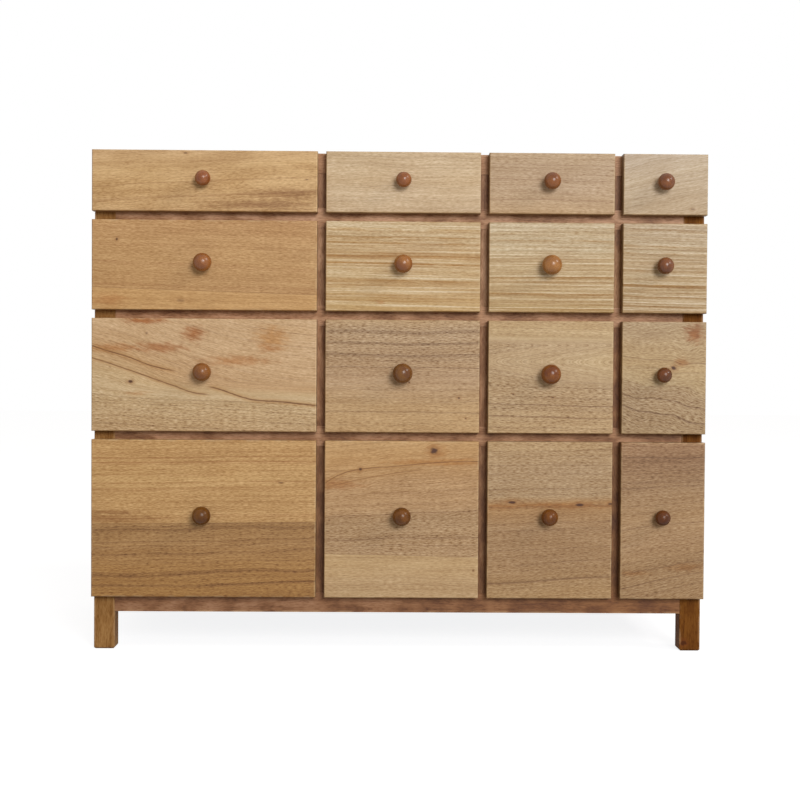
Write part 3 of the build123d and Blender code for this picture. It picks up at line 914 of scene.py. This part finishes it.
def steel_finish():
    """Bright zinc-plated screws, dulled in patches."""
    finish = Finish("screw_steel")
    cloud = finish.noise(finish.x / 1.5, finish.y / 1.5, finish.z / 1.5, detail=3.0)
    scratch = finish.noise(finish.x / 0.2, finish.y / 2.0, finish.z / 2.5, detail=2.0)
    colour = finish.mix(paint(150, 148, 142), paint(196, 194, 188), cloud.smooth(0.35, 0.65))
    colour = finish.mix(colour, paint(120, 104, 84), cloud.smooth(0.62, 0.75) * 0.5)
    finish.shader.inputs["Metallic"].default_value = 1.0
    return finish.finish(colour, 0.28 + (cloud - 0.5) * 0.3 + (scratch - 0.5) * 0.2, scratch * 0.02)


def dress_frame():
    """Posts, rails, muntins and the top board."""
    rail = Timber(
        RAIL, seed=31, spacing=5.0, lines=0.6, pores=0.9, wave=1.6, ink=STREAK, patches=0.30,
        patch_length=26.0, streaks=0.6,
    )
    rails = plain_finish("frame_rails", rail, along_x, facing_x, rail_arris, darker_low)
    rear = Timber(RAIL, seed=35, spacing=7.0, lines=0.45, pores=0.6, ink=STREAK)
    rear_rails = plain_finish("frame_rear_rails", rear, along_x, facing_x)
    side = Timber(RAIL, seed=36, spacing=7.0, lines=0.45, pores=0.6, ink=STREAK)
    side_rails = plain_finish("frame_side_rails", side, along_y, facing_y)
    post = Timber(
        POST, seed=32, spacing=6.0, lines=0.5, pores=0.8, wave=1.4, ink=STREAK, patches=0.16,
        patch_length=26.0, roughness=0.62, shine=0.08,
    )
    posts = plain_finish("frame_posts", post, along_z, facing_z, post_arris, darker_right)
    muntin = Timber(
        MUNTIN, seed=33, spacing=5.0, lines=0.5, pores=0.8, ink=STREAK, patches=0.30, patch_length=24.0,
    )
    # The muntins get painted shade by row and towards the right.
    muntins = plain_finish("frame_muntins", muntin, along_z, facing_z, None, painted_muntin_shade)
    top = Timber(
        RAIL, seed=34, spacing=9.0, lines=0.5, pores=0.7, wave=2.5, wave_length=110, ink=STREAK,
        patches=0.12,
    )
    top_board = plain_finish("frame_top", top, flat_board, facing_x, top_arris)
    dress("front_rails", rails)
    dress("rear_rails", rear_rails)
    dress("side_rails", side_rails)
    dress("corner_posts", posts)
    dress("muntins", muntins)
    dress("top_board", top_board)


def dress_panels():
    """Sides, back, shelves and the pieces between the drawers."""
    side = Timber(
        PANEL, seed=41, spacing=10.0, lines=0.45, pores=0.6, wave=3.0, wave_length=120, ink=STREAK,
    )
    side_panels = plain_finish("side_panel_wood", side, side_board, facing_z)
    back = Timber(
        PANEL, seed=42, spacing=14.0, lines=0.30, pores=0.5, wave=5.0, wave_length=160, ink=STREAK,
    )
    back_panel = plain_finish("back_panel_wood", back, back_board, facing_x)
    shelf = Timber(BOX, seed=43, spacing=12.0, lines=0.28, pores=0.4, ink=GREY_LINES, roughness=0.62)
    shelves = plain_finish("shelf_wood", shelf, shelf_board, facing_x)
    inner = Timber(BOX, seed=44, spacing=9.0, lines=0.28, pores=0.4, ink=GREY_LINES, roughness=0.62)
    inside = plain_finish("inner_wood", inner, along_y, facing_y)
    dress("side_panels", side_panels)
    dress("back_panel", back_panel)
    dress("shelves", shelves)
    dress("partitions", inside)
    dress("drawer_guides", inside)


def dress_drawers():
    """A front, a box and a knob for each drawer."""
    for row in ROWS:
        for column in COLUMNS:
            dress(f"drawer_{row}_{column}_front", front_finish(row, column))
            dress(f"drawer_{row}_{column}_box", box_finish(row, column))
            light, dark = KNOB_COLOURS[row, column]
            dress(f"drawer_{row}_{column}_knob", knob_finish(row, column, light, dark))


# ---------------------------------------------------------------- stage

def direction(azimuth, elevation):
    """Towards the viewer or lamp. Azimuth 0 is in front of the chest and 90 is to its right."""
    turn = math.radians(azimuth)
    rise = math.radians(elevation)
    return Vector((math.sin(turn) * math.cos(rise), -math.cos(turn) * math.cos(rise), math.sin(rise)))


def make_camera():
    forward = -direction(-CAMERA_YAW, -CAMERA_PITCH)
    right = forward.cross(Vector((0, 0, 1))).normalized()
    up = right.cross(forward)
    roll = math.radians(CAMERA_ROLL)
    across = right * math.cos(roll) + up * math.sin(roll)
    upward = up * math.cos(roll) - right * math.sin(roll)
    data = bpy.data.cameras.new("camera")
    data.lens = LENS
    data.sensor_width = SENSOR
    camera = bpy.data.objects.new("camera", data)
    bpy.context.collection.objects.link(camera)
    place = Matrix((across, upward, -forward)).transposed().to_4x4()
    place.translation = Vector(CAMERA_PLACE)
    camera.matrix_world = place
    bpy.context.scene.camera = camera


def make_lamp(name, azimuth, elevation, distance, size, watts, colour):
    data = bpy.data.lights.new(name, "AREA")
    data.shape = "DISK"
    data.size = size
    data.energy = watts
    data.color = colour
    lamp = bpy.data.objects.new(name, data)
    bpy.context.collection.objects.link(lamp)
    back = direction(azimuth, elevation)
    lamp.location = Vector(LIGHT_TARGET) + back * distance
    lamp.rotation_mode = "QUATERNION"
    lamp.rotation_quaternion = (-back).to_track_quat("-Z", "Y")


def seen_rays(tree):
    """1 for the rays that show the background itself: camera, glossy and transmission."""
    path = tree.nodes.new("ShaderNodeLightPath")
    seen = Field(tree, path.outputs["Is Camera Ray"])
    seen = seen.most(Field(tree, path.outputs["Is Glossy Ray"]))
    return seen.most(Field(tree, path.outputs["Is Transmission Ray"]))


def make_world():
    world = bpy.data.worlds.new("studio")
    world.use_nodes = True
    bpy.context.scene.world = world
    background = world.node_tree.nodes["Background"]
    seen = seen_rays(world.node_tree)
    tint = node_mix(world.node_tree, (*FILL_TINT, 1.0), (1.0, 1.0, 1.0, 1.0), seen)
    feed(world.node_tree, tint, background.inputs["Color"])
    feed(world.node_tree, seen * (1.0 - FILL) + FILL, background.inputs["Strength"])


def make_floor():
    half = FLOOR_SIDE / 2
    mesh = bpy.data.meshes.new("floor")
    mesh.from_pydata(
        [(-half, -half, 0), (half, -half, 0), (half, half, 0), (-half, half, 0)], [], [(0, 1, 2, 3)],
    )
    floor = bpy.data.objects.new("floor", mesh)
    bpy.context.collection.objects.link(floor)
    finish = Finish("floor")
    finish.gloss(0.0)
    finish.shader.inputs["Emission Color"].default_value = (*FLOOR_GLOW, 1.0)
    feed(finish.tree, seen_rays(finish.tree), finish.shader.inputs["Emission Strength"])
    mottle = finish.noise(finish.x / 90.0, finish.y / 90.0, 0.0, detail=3.0)
    colour = finish.mix(paint(168, 168, 168), paint(174, 174, 174), mottle)
    mesh.materials.append(finish.finish(colour, 0.8 + mottle * 0.1, mottle * 0.02))


dress_drawers()
dress_frame()
dress_panels()
dress("back_panel_screws", steel_finish())
make_camera()
for lamp_values in LAMPS:
    make_lamp(*lamp_values)
make_world()
make_floor()
bpy.context.scene.view_settings.view_transform = "Standard"
